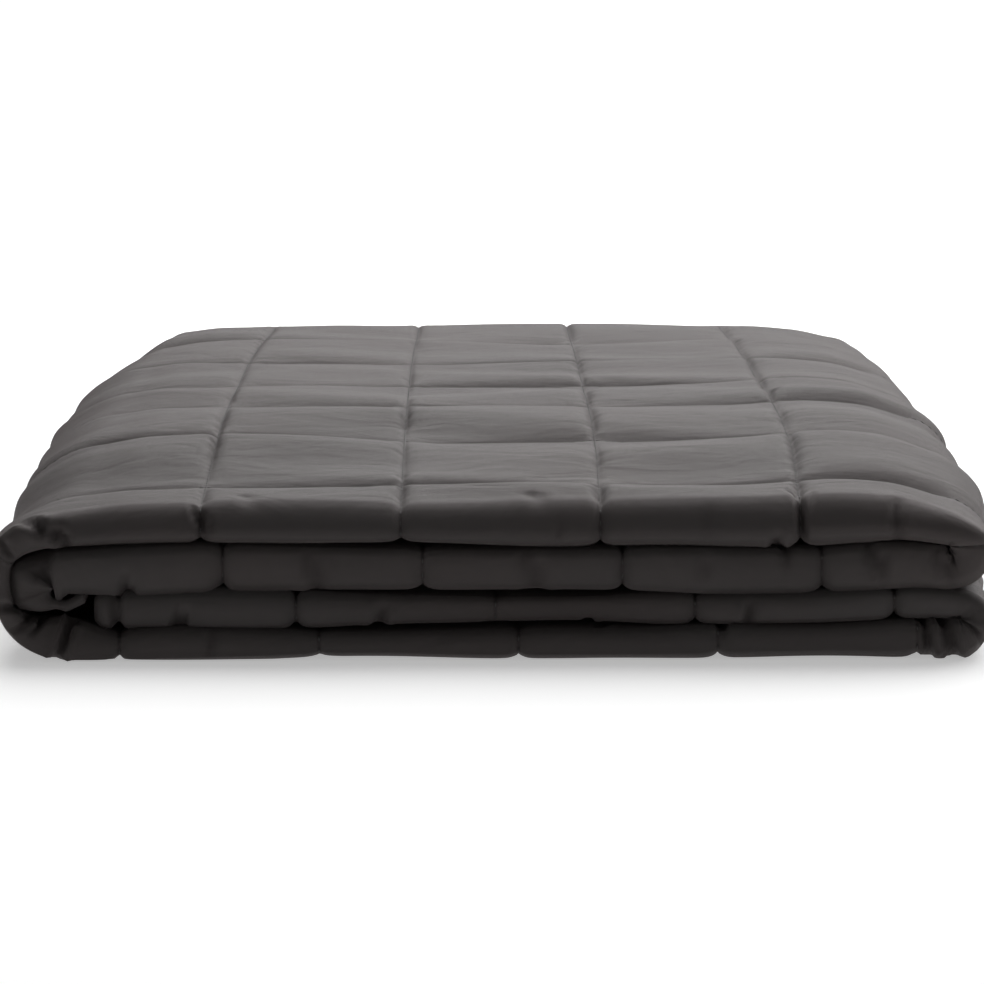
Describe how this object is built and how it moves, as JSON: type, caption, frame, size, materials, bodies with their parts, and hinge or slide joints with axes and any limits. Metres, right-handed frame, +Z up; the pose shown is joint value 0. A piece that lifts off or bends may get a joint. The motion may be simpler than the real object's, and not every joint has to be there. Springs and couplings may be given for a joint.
{
  "type": "weighted blanket",
  "caption": "Filled, quilted blanket in charcoal cloth, doubled over and folded into a flat rectangular stack with its folds at the front and its hems at the back.",
  "frame": {"origin": "middle of the underside of the folded stack, on the surface it rests on", "axes": "+Z up, +X to the right across the folded stack with the spine on the left, +Y from the front fold to the hems at the back"},
  "size_m": [0.4755, 0.617, 0.0853],
  "materials": {
    "cover_fabric": "soft matt cloth, stitched through in blocks"
  },
  "bodies": {
    "root": {"blanket": "cover_fabric"}
  },
  "joints": []
}
